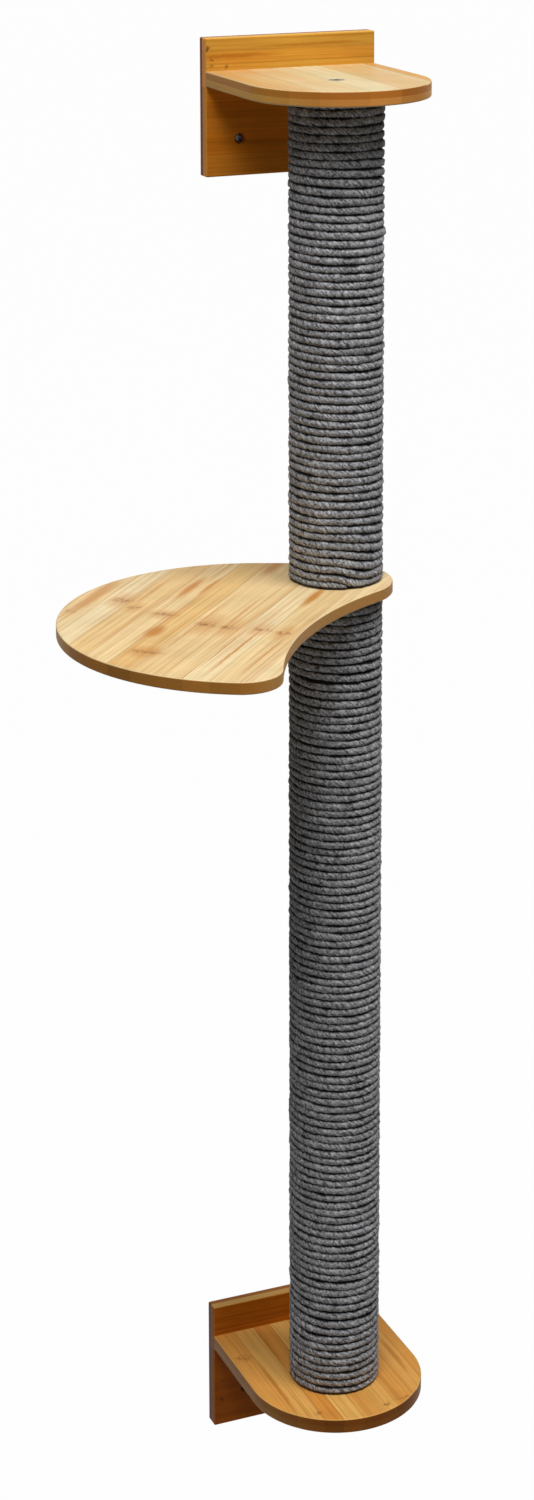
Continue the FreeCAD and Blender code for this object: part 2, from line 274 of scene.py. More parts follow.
@dataclass(frozen=True)
class Bamboo:
    """Edge-glued bamboo under a satin clear lacquer: planed staves side by side in two plies, with brown
    zones and hair-fine fibres along them, a dark wavy line where a cane had a node, and sanded edges whose
    paler line is partly sanding, partly painted highlight.

    Staves are listed by where each begins across the board and how tan it is, from 0 to 1, and end with
    the board's far edge. The far ply lies past ply, through the board.
    """

    name: str
    along: Spot
    across: Spot
    pale: str
    tan: str
    side: str
    end: str
    seed: float
    ply: float
    staves: Pairs
    through: Spot = (0.0, 0.0, 1.0)
    glue_line: float = 0.6
    far_ply: str = "FFFFFF"
    streak: float = 0.5
    contrast: float = 1.0
    node_tint: str = "8E5420"
    streak_tint: str = "BE7A34"
    nodes: tuple[Mark, ...] = ()
    streaks: tuple[Mark, ...] = ()

    def material(self) -> Material:
        """Build the board's material.

        Returns:
            The material, which reads Object coordinates.
        """
        material, put, shader = new_material("bamboo_" + self.name)
        place, mm = in_mm(put)
        u, v, w = [put("VectorMath", {0: mm, 1: axis}, operation="DOT_PRODUCT").outputs["Value"]
                   for axis in (self.along, self.across, self.through)]
        tone = self.tone_at(put, v, 0.0)
        chance = put("TexWhiteNoise", {"W": put("Math", {0: tone, 1: 91.7, 2: self.seed},
                                                operation="MULTIPLY_ADD")}, noise_dimensions="1D")
        offset = put("VectorMath", {0: chance.outputs["Color"], "Scale": 300.0}, operation="SCALE")
        board = put("CombineXYZ", {0: u, 1: v, 2: w})
        grain = put("VectorMath", {0: board, 1: offset}, operation="ADD")

        # brown zones about 14 mm wide and 250 mm long, lines of 2 to 3 mm, and hairs under 1 mm
        zones = self.grain_noise(put, grain, (0.004, 0.07, 0.07), 2.0)
        lines = self.grain_noise(put, grain, (0.007, 0.38, 0.38), 3.0)
        hairs = self.grain_noise(put, grain, (0.03, 1.5, 1.5), 2.0)
        cloud = self.grain_noise(put, mm, (0.016, 0.016, 0.016), 2.0)
        colour = put("Mix", {0: tone, "A": srgb(self.pale), "B": srgb(self.tan)}, data_type="RGBA")
        brown, dark = srgb(self.streak_tint), srgb(self.node_tint)
        for pattern, low, high, most in ((zones, 0.48, 0.72, self.streak),
                                         (lines, 0.52, 0.70, 0.55 * self.contrast)):
            amount = put("MapRange", {0: pattern, 1: low, 2: high, 3: 0.0, 4: most})
            colour = put("Mix", {0: amount, "A": colour, "B": brown}, data_type="RGBA")
        colour = mottle(put, colour, (lines, 0.30, 0.52, 1.0 + 0.10 * self.contrast, 1.0),
                        (hairs, 0.25, 0.75, 1.0 - 0.12 * self.contrast, 1.06),
                        (cloud, 0.30, 0.70, 0.94, 1.05))

        # the glue line shows wherever the stave's tone changes
        step = put("Math", {0: self.tone_at(put, v, self.glue_line),
                            1: self.tone_at(put, v, -self.glue_line)}, operation="SUBTRACT")
        step = put("Math", {0: step}, operation="ABSOLUTE")
        seam = put("MapRange", {0: step, 1: 0.0, 2: 0.25, 3: 0.0, 4: 0.30})

        # the canes' nodes and single streaks, at their places on this board
        wobble = put("TexNoise", {"Vector": mm, "Scale": 0.11, "Detail": 2.0})
        wobble = put("VectorMath", {0: wobble.outputs["Color"], 1: (0.5, 0.5, 0.5)}, operation="SUBTRACT")
        wobble = put("VectorMath", {0: wobble, 1: (10.0, 8.0, 0.0)}, operation="MULTIPLY")
        wavy = put("VectorMath", {0: board, 1: wobble}, operation="ADD")
        slight = put("VectorMath", {0: wobble, "Scale": 0.25}, operation="SCALE")
        slight = put("VectorMath", {0: board, 1: slight}, operation="ADD")
        streaks = self.figures(put, slight, self.streaks)
        # a node is a cluster of short dark fibres about 2 mm apart, not one even line
        broken = put("VectorMath", {0: board, 1: (0.16, 0.42, 0.42)}, operation="MULTIPLY")
        broken = put("TexNoise", {"Vector": broken, "Scale": 1.0, "Detail": 3.0, "Roughness": 0.7})
        broken = put("MapRange", {0: broken, 1: 0.44, 2: 0.58, 3: 0.15, 4: 1.0})
        knots = put("Math", {0: self.figures(put, wavy, self.nodes), 1: broken}, operation="MULTIPLY")
        for mask, tint in ((seam, dark), (streaks, brown), (knots, dark)):
            colour = put("Mix", {0: mask, "A": colour, "B": tint}, data_type="RGBA")

        colour = self.sawn_edges(put, place.outputs["Normal"], (w, tone, hairs), colour)

        # lacquer: satin, duller along the fibres' hollows
        dull = put("MapRange", {0: hairs, 1: 0.3, 2: 0.7, 3: 0.50, 4: 0.38})
        height = put("Math", {0: hairs, 1: lines}, operation="ADD")
        height = put("Math", {0: knots, 1: -0.8, 2: height}, operation="MULTIPLY_ADD")
        height = put("Math", {0: seam, 1: -1.0, 2: height}, operation="MULTIPLY_ADD")
        bump = put("Bump", {"Height": height, "Distance": 0.15 * MM, "Strength": 0.5})
        set_inputs(shader, Base_Color=colour, Roughness=dull, IOR=1.5, Normal=bump, Specular_IOR_Level=0.06)
        return material

    def tone_at(self, put: Put, v: NodeSocket, shift: float) -> Node:
        """How tan the stave is at a place across the board.

        Args:
            put: adds a node to the material.
            v: the place across the board, in millimetres.
            shift: how far beside it to look.

        Returns:
            A node whose output is the tone, from 0 to 1.
        """
        low, high = self.staves[0][0], self.staves[-1][0]
        where = put("MapRange", {0: v, 1: low - shift, 2: high - shift, 3: 0.0, 4: 1.0})
        steps = put("ValToRGB", {0: where})
        ramp = steps.color_ramp
        ramp.interpolation = "CONSTANT"
        for number, (start, tone) in enumerate(self.staves[:-1]):
            share = (start - low) / (high - low)
            stop = ramp.elements[0] if number == 0 else ramp.elements.new(share)
            stop.position = share
            stop.color = (tone, tone, tone, 1.0)
        ramp.elements.remove(ramp.elements[-1])
        return steps

    @staticmethod
    def grain_noise(put: Put, vector: Node, scale: Spot, detail: float) -> NodeSocket:
        """Noise stretched along the grain, its rows slid past each other so that no two streaks line up.

        Args:
            put: adds a node to the material.
            vector: coordinates in millimetres along, across and through the board.
            scale: features per millimetre each way.
            detail: octaves of finer noise.

        Returns:
            The noise's value, from 0 to 1.
        """
        slide = 0.8
        rows = ((scale[0], slide * scale[1], slide * scale[2]), (0.0, scale[1], 0.0), (0.0, 0.0, scale[2]))
        parts = [put("VectorMath", {0: vector, 1: row}, operation="DOT_PRODUCT").outputs["Value"]
                 for row in rows]
        stretched = put("CombineXYZ", dict(enumerate(parts)))
        noise = put("TexNoise", {"Vector": stretched, "Scale": 1.0, "Detail": detail, "Roughness": 0.6})
        return noise.outputs[0]

    def figures(self, put: Put, wavy: Node, marks: tuple[Mark, ...]) -> Node:
        """A mask of the board's own marks.

        Args:
            put: adds a node to the material.
            wavy: the place along, across and through the board, bent a little.
            marks: the marks.

        Returns:
            A node whose output is the mask, from 0 to 1.
        """
        masks = put("Value")
        for mark in marks:
            where = Vector((mark.x, mark.y, mark.z))
            centre = (where.dot(Vector(self.along)), where.dot(Vector(self.across)), 0.0)
            away = put("VectorMath", {0: wavy, 1: centre}, operation="SUBTRACT")
            away = put("VectorMath", {0: away, 1: (2.0 / mark.length, 2.0 / mark.width, 0.0)},
                       operation="MULTIPLY")
            away = put("VectorMath", {0: away}, operation="LENGTH")
            mask = put("MapRange", {0: away.outputs["Value"], 1: 1.3, 2: 0.3, 3: 0.0, 4: mark.strength},
                       interpolation_type="SMOOTHSTEP")
            masks = put("Math", {0: masks, 1: mask}, operation="MAXIMUM")
        return masks

    def sawn_edges(self, put: Put, normal: NodeSocket, patterns: tuple[Any, Any, Any], colour: Node) -> Node:
        """Colour the board's edges: browner end grain, paler long grain, two plies, a sanded corner with a
        painted highlight.

        Args:
            put: adds a node to the material.
            normal: the face's direction.
            patterns: the place through the board, the stave's tone and the fibres' noise.
            colour: the faces' colour.

        Returns:
            The colour with the edges.
        """
        w, tone, hairs = patterns
        turned = [put("VectorMath", {0: normal, 1: axis}, operation="DOT_PRODUCT").outputs["Value"]
                  for axis in (self.through, self.along)]
        flat, ahead = [put("Math", {0: cosine}, operation="ABSOLUTE") for cosine in turned]
        cut = put("MapRange", {0: ahead, 1: 0.35, 2: 0.85, 3: 0.0, 4: 1.0})
        edge = put("Mix", {0: cut, "A": srgb(self.side), "B": srgb(self.end)}, data_type="RGBA")
        edge = mottle(put, edge, (tone, 0.0, 1.0, 1.12, 0.74), (hairs, 0.3, 0.7, 0.85, 1.08))
        far = put("MapRange", {0: w, 1: self.ply - 0.3, 2: self.ply + 0.3, 3: 0.0, 4: 1.0})
        other = put("Mix", {0: 1.0, "A": edge, "B": srgb(self.far_ply)}, data_type="RGBA",
                    blend_type="MULTIPLY")
        edge = put("Mix", {0: far, "A": edge, "B": other}, data_type="RGBA")
        rim = put("MapRange", {0: flat, 1: 0.75, 2: 0.35, 3: 0.0, 4: 1.0})
        colour = put("Mix", {0: rim, "A": colour, "B": edge}, data_type="RGBA")
        # the rounded corner is sanded through the lacquer's tint and carries a painted highlight: both show
        # as a paler line
        rising = put("MapRange", {0: flat, 1: 0.30, 2: 0.60, 3: 0.0, 4: 0.45})
        falling = put("MapRange", {0: flat, 1: 0.97, 2: 0.85, 3: 0.0, 4: 1.0})
        sanded_and_highlight = put("Math", {0: rising, 1: falling}, operation="MULTIPLY")
        return put("Mix", {0: sanded_and_highlight, "A": colour, "B": srgb(self.pale)}, data_type="RGBA")


@dataclass(frozen=True)
class GreyRope:
    """Soft three-strand rope of grey spun fibres: matt and felted, flecked lighter and darker, with painted
    shade that makes it nearly black in the valleys between its turns and darker in its grooves.
    """

    strand_width: float = 8.38
    boards: tuple[float, ...] = (36.0, 889.0)
    light: str = "C4C4C7"
    dark: str = "434345"
    painted_shade: str = "060606"

    def material(self) -> Material:
        """Build the rope's material.

        Returns:
            The material, which reads Object coordinates, the rope's UV map in metres along and round it,
            and its edge attribute, which says how near the next turn is.
        """
        material, put, shader = new_material("grey_spun_rope")
        place, mm = in_mm(put)
        strand = put("VectorMath", {0: place.outputs["UV"], 1: (1000.0, 1000.0, 0.0)}, operation="MULTIPLY")
        # yarns about 2 mm thick and 7 mm long lie along the strands
        along_yarn = put("VectorMath", {0: strand, 1: (0.17, 0.6, 0.0)}, operation="MULTIPLY")
        yarn = put("TexNoise", {"Vector": along_yarn, "Scale": 1.0, "Detail": 3.0, "Roughness": 0.65})
        # felt: fibres too fine to show are drawn as 2 mm flecks with finer ones on them
        felt = put("TexNoise", {"Vector": mm, "Scale": 0.45, "Detail": 4.0, "Roughness": 0.7})
        # dye lots and handling: patches of 30 mm
        patch = put("TexNoise", {"Vector": mm, "Scale": 0.033, "Detail": 2.0})
        fleck = put("Mix", {0: 0.5, "A": yarn, "B": felt}, data_type="FLOAT")
        tone = put("MapRange", {0: fleck, 1: 0.42, 2: 0.58, 3: 0.0, 4: 1.0})
        colour = put("Mix", {0: tone, "A": srgb(self.dark), "B": srgb(self.light)}, data_type="RGBA")
        colour = mottle(put, colour, (patch, 0.35, 0.65, 0.90, 1.08))
        # the groove between two strands, darkened as painted shade; it also dips the bump
        round_it = put("SeparateXYZ", {0: strand})
        groove = round_it.outputs["Y"]
        for operation, by in (("DIVIDE", {1: self.strand_width}), ("FRACT", {}), ("SUBTRACT", {1: 0.5}),
                              ("ABSOLUTE", {})):
            groove = put("Math", {0: groove, **by}, operation=operation)
        groove = put("MapRange", {0: groove, 1: 0.30, 2: 0.5, 3: 0.0, 4: 0.28})
        colour = put("Mix", {0: groove, "A": colour, "B": srgb(self.dark)}, data_type="RGBA")
        # painted shade between the turns, nearly black; the gaps open and close every 12 mm or so
        gaps = put("TexNoise", {"Vector": mm, "Scale": 0.085, "Detail": 2.0})
        deep = put("Attribute", attribute_name="edge").outputs["Fac"]
        deep = put("Math", {0: fleck, 1: -0.45, 2: deep}, operation="MULTIPLY_ADD")
        deep = put("Math", {0: gaps, 1: -0.80, 2: deep}, operation="MULTIPLY_ADD")
        # painted shade in the valleys between turns
        deep = put("MapRange", {0: deep, 1: -0.05, 2: 0.32, 3: 0.0, 4: 0.97},
                   interpolation_type="SMOOTHSTEP")
        colour = put("Mix", {0: deep, "A": colour, "B": srgb(self.painted_shade)}, data_type="RGBA")
        # painted contact shadow where the rope stands on a board
        up = put("SeparateXYZ", {0: mm}).outputs["Z"]
        for board in self.boards:
            near = put("Math", {0: up, 1: board}, operation="SUBTRACT")
            near = put("Math", {0: near}, operation="ABSOLUTE")
            near = put("MapRange", {0: near, 1: 2.2, 2: 4.0, 3: 0.97, 4: 0.0})
            colour = put("Mix", {0: near, "A": colour, "B": srgb(self.painted_shade)}, data_type="RGBA")
        height = put("Math", {0: groove, 1: -0.4, 2: fleck}, operation="MULTIPLY_ADD")
        bump = put("Bump", {"Height": height, "Distance": 0.9 * MM, "Strength": 0.9})
        set_inputs(shader, Base_Color=colour, Roughness=0.95, Normal=bump, Specular_IOR_Level=0.2,
                   Sheen_Weight=0.2, Sheen_Roughness=0.5)
        return material


@dataclass(frozen=True)
class Metal:
    """Plated steel or turned brass: a true metal with fine turning marks and a slightly uneven skin."""

    name: str
    colour: str
    roughness: float

    def material(self) -> Material:
        """Build the metal's material.

        Returns:
            The material, which reads Object coordinates.
        """
        material, put, shader = new_material(self.name)
        mm = in_mm(put)[1]
        # plating clouds of about 2 mm, and turning marks 0.3 mm apart drawn as fine noise
        cloud = put("TexNoise", {"Vector": mm, "Scale": 0.5, "Detail": 3.0})
        marks = put("TexNoise", {"Vector": mm, "Scale": 3.0, "Detail": 2.0})
        colour = mottle(put, srgb(self.colour), (cloud, 0.3, 0.7, 0.82, 1.06))
        smooth, dull = self.roughness - 0.08, self.roughness + 0.1
        rough = put("MapRange", {0: cloud, 1: 0.3, 2: 0.7, 3: smooth, 4: dull})
        bump = put("Bump", {"Height": marks, "Distance": 0.03 * MM, "Strength": 0.5})
        set_inputs(shader, Base_Color=colour, Metallic=1.0, Roughness=rough, Normal=bump)
        return material


@dataclass(frozen=True)
class Stock:
    """Plain hidden stock, such as kraft paper, moulded plastic or beech: a base tone with flecks."""

    name: str
    light: str
    dark: str
    fleck: Spot
    roughness: float
    relief: float

    def material(self) -> Material:
        """Build the stock's material.

        Returns:
            The material, which reads Object coordinates.
        """
        material, put, shader = new_material(self.name)
        place = put("TexCoord")
        scale = [1000.0 / size for size in self.fleck]
        flecks = put("VectorMath", {0: place.outputs["Object"], 1: scale}, operation="MULTIPLY")
        noise = put("TexNoise", {"Vector": flecks, "Scale": 1.0, "Detail": 4.0, "Roughness": 0.6})
        tone = put("MapRange", {0: noise, 1: 0.3, 2: 0.7, 3: 0.0, 4: 1.0})
        colour = put("Mix", {0: tone, "A": srgb(self.dark), "B": srgb(self.light)}, data_type="RGBA")
        bump = put("Bump", {"Height": noise, "Distance": self.relief * MM, "Strength": 0.6})
        set_inputs(shader, Base_Color=colour, Roughness=self.roughness, Normal=bump)
        return material


# ---------------------------------------------------------------- the wound rope
@dataclass
class Winding:
    """The rope of one post section, wound down to the right, drawn turn by turn.

    The first and last turn lie flat on the boards. Beside each cut end the rope climbs one rope's
    thickness over the end, which is squeezed to a wedge under it, and the climb spreads out from turn
    to turn until the winding is a true helix.
    """

    name: str
    node: str
    axis: Vector
    tube_radius: float
    bottom: float
    top: float
    foot_angle: float
    seed: int
    part_turn: float = 0.0
    lumps: tuple[Spot, ...] = ()
    size: float = 8.0 * MM
    lay: float = 25.0 * MM
    step: float = 2.4 * MM
    climb: float = math.radians(44.0)
    wedge: float = math.radians(20.0)
    spread: float = 1.2
    squareness: float = 3.0
    lobes: tuple[float, ...] = (0.95, 1.0, 1.02, 1.0)
    strands: int = 3
    most_rings: int = 7900
    # how the rope wanders: by how much, and over what length along it
    rise_drift: Pairs = ((0.22 * MM, 9 * MM), (0.16 * MM, 75 * MM))
    depth_drift: Pairs = ((0.15 * MM, 9 * MM),)
    girth_drift: Pairs = ((0.040, 6 * MM), (0.025, 30 * MM))
    twist_drift: Pairs = ((0.5, 25 * MM),)
    roughness: float = 0.05
    # beside a board this share of the drift is left, and away from it the share grows by 1 in so many turns
    calm_share: float = 0.25
    calm_turns: float = 0.7
    lump_reach: tuple[float, float] = (3.5 * MM, 4.0 * MM)
    tube_gap: float = 0.1 * MM
    # past this turn the climb has long spread all round, so its width is held
    last_spread: int = 40

    def climbed(self, angle: np.ndarray) -> np.ndarray:
        """How many rope thicknesses the winding has climbed from its flat end.

        Args:
            angle: the angle wound so far, in radians.

        Returns:
            The climb at each angle.
        """
        turn = np.floor(angle / FULL_TURN)
        within = angle - turn * FULL_TURN
        width = np.minimum(FULL_TURN, self.climb * self.spread ** np.minimum(turn, self.last_spread))
        share = np.clip((within - (FULL_TURN - width)) / width, 0.0, 1.0)
        even = np.clip((width - self.climb) / (FULL_TURN - self.climb), 0.0, 1.0)
        soft = share * share * (3.0 - 2.0 * share)
        return turn + even * share + (1.0 - even) * soft

    def wander(self, rng: np.random.Generator, count: int, parts: Pairs) -> np.ndarray:
        """Smooth random drift along the rope.

        Args:
            rng: the seeded source of chance.
            count: how many rings the rope has.
            parts: the spread of each part, and the distance over which it changes, in metres.

        Returns:
            One value for each ring.
        """
        total = np.zeros(count)
        for amount, length in parts:
            reach = max(1, int(round(length / self.step)))
            raw = rng.normal(size=count + 6 * reach)
            bell = np.exp(-0.5 * (np.arange(-3 * reach, 3 * reach + 1) / reach) ** 2)
            smooth = np.convolve(raw, bell, mode="valid")[:count]
            total += amount * smooth / smooth.std()
        return total

    def build(self) -> list[Object]:
        """Sweep the three-strand section along the winding.

        Returns:
            The rope as one or more closed meshes, each with a UV map in metres along and round it.
        """
        rng = np.random.default_rng(self.seed)
        radius = self.tube_radius + self.size / 2.0
        turns = math.floor((self.top - self.bottom) / self.size - 1.0) + self.part_turn
        total = turns * FULL_TURN
        rise = (self.top - self.bottom - self.size) / turns
        angle = np.arange(-self.wedge, total + self.wedge, self.step / radius)
        count = len(angle)
        wound = np.clip(angle, 0.0, total)
        layer = np.where(wound < total / 2.0, self.climbed(wound), turns - self.climbed(total - wound))
        past = np.maximum(np.maximum(-angle, angle - total), 0.0)
        squash = np.where(past > 0.0, self.climbed(FULL_TURN - past), 1.0)

        z = self.bottom + self.size / 2.0 + layer * rise
        z = z + (1.0 - squash) * self.size / 2.0 * np.where(angle < 0.0, -1.0, 1.0)
        from_end = np.minimum(layer, turns - layer)
        free = squash * np.minimum(1.0, from_end / self.calm_turns + self.calm_share)
        z = z + free * self.wander(rng, count, self.rise_drift)
        out = radius + self.wander(rng, count, self.depth_drift)
        thick = (self.size / 2.0) * (1.0 + self.wander(rng, count, self.girth_drift))
        turned = self.foot_angle - angle
        for lump_angle, lump_z, extra in self.lumps:
            off_turn = np.abs((turned - lump_angle + math.pi) % FULL_TURN - math.pi) * radius
            near = np.exp(-(off_turn / self.lump_reach[0]) ** 2 - ((z - lump_z) / self.lump_reach[1]) ** 2)
            thick = thick * (1.0 + extra * near)
        twist = FULL_TURN * angle * radius / self.lay + self.wander(rng, count, self.twist_drift)

        outward = np.stack([np.cos(turned), np.sin(turned), np.zeros(count)], 1)
        centre = np.array(self.axis)[None, :] * np.array([1.0, 1.0, 0.0]) + outward * out[:, None]
        centre[:, 2] = z
        way = np.gradient(centre, axis=0)
        way /= np.linalg.norm(way, axis=1)[:, None]
        side = np.cross(way, outward)

        lobe = np.array(self.lobes * self.strands)
        sides = len(lobe)
        turn_by = twist[:, None] + FULL_TURN * np.arange(sides)[None, :] / sides
        power = self.squareness
        square = (np.abs(np.cos(turn_by)) ** power + np.abs(np.sin(turn_by)) ** power) ** (-1.0 / power)
        uneven = 1.0 + self.roughness * rng.normal(size=(count, sides))
        reach = thick[:, None] * lobe[None, :] * square * uneven
        # how near each point lies to the next turn, from which the rope's material paints shade
        edge = np.minimum(np.abs(square * np.sin(turn_by)), 1.0)
        points = (centre[:, None, :] + outward[:, None, :] * (reach * np.cos(turn_by))[:, :, None]
                  + side[:, None, :] * (reach * np.sin(turn_by) * squash[:, None])[:, :, None])
        points = self.against_the_post(points)
        along = angle * radius
        return self.lengths(np.concatenate([points, edge[:, :, None]], axis=2), along, turned)

    def against_the_post(self, points: np.ndarray) -> np.ndarray:
        """Press the rope flat where it lies on the tube and on the boards.

        Args:
            points: the rings' points.

        Returns:
            The points, none inside the tube or a board.
        """
        flat = points[..., :2] - np.array(self.axis)[:2]
        away = np.linalg.norm(flat, axis=-1)
        scale = np.maximum(away, self.tube_radius + self.tube_gap) / away
        points[..., :2] = np.array(self.axis)[:2] + flat * scale[..., None]
        points[..., 2] = np.clip(points[..., 2], self.bottom, self.top)
        return points

    def lengths(self, points: np.ndarray, along: np.ndarray, turned: np.ndarray) -> list[Object]:
        """Make the rope's mesh, in as many lengths as keep each one light, cut at the back of the post.

        Args:
            points: the rings' points and how near each lies to the next turn, from 0 to 1.
            along: each ring's distance along the rope.
            turned: each ring's angle about the post.

        Returns:
            The lengths of rope.
        """
        count = len(along)
        parts = math.ceil(count / self.most_rings)
        behind = np.nonzero(np.diff(np.floor((turned - math.pi / 2.0) / FULL_TURN)))[0]
        cuts = [0] + [int(behind[np.abs(behind - count * k // parts).argmin()]) for k in range(1, parts)]
        cuts.append(count - 1)
        names = [self.name] if parts == 1 else ["%s_%d" % (self.name, k + 1) for k in range(parts)]
        return [self.skin(name, points[a:b + 1], along[a:b + 1])
                for name, a, b in zip(names, cuts, cuts[1:])]

    def skin(self, name: str, points: np.ndarray, along: np.ndarray) -> Object:
        """Join rings of points to a closed tube.

        Args:
            name: the piece's name.
            points: the rings' points and how near each lies to the next turn, ring by ring.
            along: each ring's distance along the rope.

        Returns:
            The piece.
        """
        count, sides = points.shape[:2]
        ring = np.arange(count - 1)[:, None] * sides
        k = np.arange(sides)[None, :]
        after = (k + 1) % sides
        quads = np.stack([ring + k, ring + after, ring + sides + after, ring + sides + k], -1).reshape(-1, 4)
        last = (count - 1) * sides
        faces = [tuple(q) for q in quads.tolist()]
        faces.append(tuple(range(sides))[::-1])
        faces.append(tuple(range(last, last + sides)))
        rope = mesh_piece(name, points[..., :3].reshape(-1, 3), faces)
        edge = rope.data.attributes.new("edge", "FLOAT", "POINT")
        edge.data.foreach_set("value", points[..., 3].reshape(-1))

        girth = math.pi * self.size / sides
        low, high = along[:-1, None] + 0.0 * k, along[1:, None] + 0.0 * k
        near, far = 0.0 * ring + k * girth, 0.0 * ring + (k + 1) * girth
        square = np.stack([low, near, low, far, high, far, high, near], -1).reshape(-1)
        layer = rope.data.uv_layers.new(name="strands")
        layer.data.foreach_set("uv", np.concatenate([square, np.zeros(4 * sides)]))
        rope.data.polygons.foreach_set("use_smooth", [True] * len(rope.data.polygons))
        return rope


# ---------------------------------------------------------------- wall screws
@dataclass
class WallScrews:
    """The two pan head screws of one wall plate: cross recess, smooth neck, rolled thread and point."""

    name: str
    centres: list[Vector]
    head_front: float
    seat: float
    tip: float
    head_radius: float = 4.0 * MM
    neck_radius: float = 1.9 * MM
    core_radius: float = 1.7 * MM
    crest_radius: float = 2.5 * MM
    pitch: float = 2.4 * MM
    point: float = 5.0 * MM
    # the cross recess's width, length and depth
    recess: Spot = (1.2 * MM, 4.4 * MM, 1.8 * MM)
    # the head's profile: share of its height from the front, and share of its radius
    crown: Pairs = ((0.0, 0.62), (0.14, 0.84), (0.42, 0.97), (1.0, 1.0))
    taper: float = 0.4 * MM
    tip_radius: float = 0.04 * MM
    smooth_angle: float = math.radians(38.0)
    sides: int = 28
    steps: int = 20
    # the thread's foot starts this far inside the core, and its ridge is this share of a pitch wide
    bite: float = 0.1 * MM
    ridge: float = 0.32

    def build(self) -> Object:
        """Model one screw and copy it to each place.

        Returns:
            Both screws as one piece.
        """
        body = self.body()
        self.cut_recess(body)
        thread = self.thread()
        take(body, thread)
        bpy.ops.object.join()
        screws = []
        for centre in self.centres:
            take(body)
            bpy.ops.object.duplicate()
            copy = bpy.context.object
            copy.location = (centre.x, 0.0, centre.z)
            bpy.ops.object.transform_apply()
            screws.append(copy)
        bpy.data.objects.remove(body, do_unlink=True)
        take(*screws)
        bpy.ops.object.join()
        piece = bpy.context.object
        piece.name = self.name
        piece.data.name = self.name
        bpy.ops.object.shade_smooth_by_angle(angle=self.smooth_angle)
        deselect()
        return piece

    def body(self) -> Object:
        """Draw a disc out, ring by ring, from the head's crown to the point.

        Returns:
            The screw without its thread, on the Y axis.
        """
        head = self.seat - self.head_front
        rings = [(self.head_front + down * head, wide * self.head_radius) for down, wide in self.crown]
        rings += [(self.seat, self.neck_radius), (0.0, self.neck_radius), (self.taper, self.core_radius),
                  (self.tip - self.point, self.core_radius), (self.tip, self.tip_radius)]
        deselect()
        start, radius = rings[0]
        bpy.ops.mesh.primitive_circle_add(vertices=self.sides, radius=radius, fill_type="NGON",
                                          location=(0.0, start, 0.0),
                                          rotation=(math.radians(90.0), 0.0, 0.0))
        bpy.ops.object.transform_apply()
        body = bpy.context.object
        bpy.ops.object.mode_set(mode="EDIT")
        bpy.ops.mesh.select_all(action="SELECT")
        for place, wide in rings[1:]:
            bpy.ops.mesh.extrude_region_move(TRANSFORM_OT_translate={"value": (0.0, place - start, 0.0)})
            grow = wide / radius
            bpy.ops.transform.resize(value=(grow, 1.0, grow), center_override=(0.0, place, 0.0))
            start, radius = place, wide
        bpy.ops.mesh.select_all(action="SELECT")
        bpy.ops.mesh.normals_make_consistent(inside=False)
        bpy.ops.object.mode_set(mode="OBJECT")
        return body

    def cut_recess(self, body: Object) -> None:
        """Sink the cross recess in the head.

        Args:
            body: the screw.
        """
        width, length, depth = self.recess
        for across, down in ((width, length), (length, width)):
            deselect()
            bpy.ops.mesh.primitive_cube_add(size=1.0, location=(0.0, self.head_front, 0.0))
            cutter = bpy.context.object
            cutter.scale = (across, 2.0 * depth, down)
            bpy.ops.object.transform_apply()
            cut = body.modifiers.new("recess", "BOOLEAN")
            cut.object = cutter
            cut.operation = "DIFFERENCE"
            cut.solver = "EXACT"
            take(body)
            bpy.ops.object.modifier_apply(modifier=cut.name)
            bpy.data.objects.remove(cutter, do_unlink=True)

    def thread(self) -> Object:
        """Wind a small triangle round the core.

        Returns:
            The thread as a closed ridge, on the Y axis.
        """
        foot, half = self.core_radius - self.bite, self.ridge * self.pitch
        start = self.pitch / 2.0
        turns = int((self.tip - self.point - start) / self.pitch)
        deselect()
        # the triangle points out along X: its corners are 1 ahead of its middle and 0.5 behind
        deep = (self.crest_radius - foot) / 1.5
        bpy.ops.mesh.primitive_circle_add(vertices=3, radius=1.0, fill_type="NOTHING",
                                          rotation=(0.0, 0.0, math.radians(-90.0)))
        bpy.ops.object.transform_apply()
        thread = bpy.context.object
        thread.scale = (deep, half / math.sin(math.radians(60.0)), 1.0)
        thread.location = (foot + 0.5 * deep, start, 0.0)
        bpy.ops.object.transform_apply()
        wind = thread.modifiers.new("wind", "SCREW")
        wind.axis = "Y"
        wind.screw_offset = self.pitch
        wind.iterations = turns
        wind.steps = self.steps
        wind.render_steps = self.steps
        wind.use_merge_vertices = True
        take(thread)
        bpy.ops.object.modifier_apply(modifier=wind.name)
        bpy.ops.object.mode_set(mode="EDIT")
        bpy.ops.mesh.select_all(action="SELECT")
        bpy.ops.mesh.fill_holes(sides=4)
        bpy.ops.mesh.select_all(action="SELECT")
        bpy.ops.mesh.normals_make_consistent(inside=False)
        bpy.ops.object.mode_set(mode="OBJECT")
        return thread


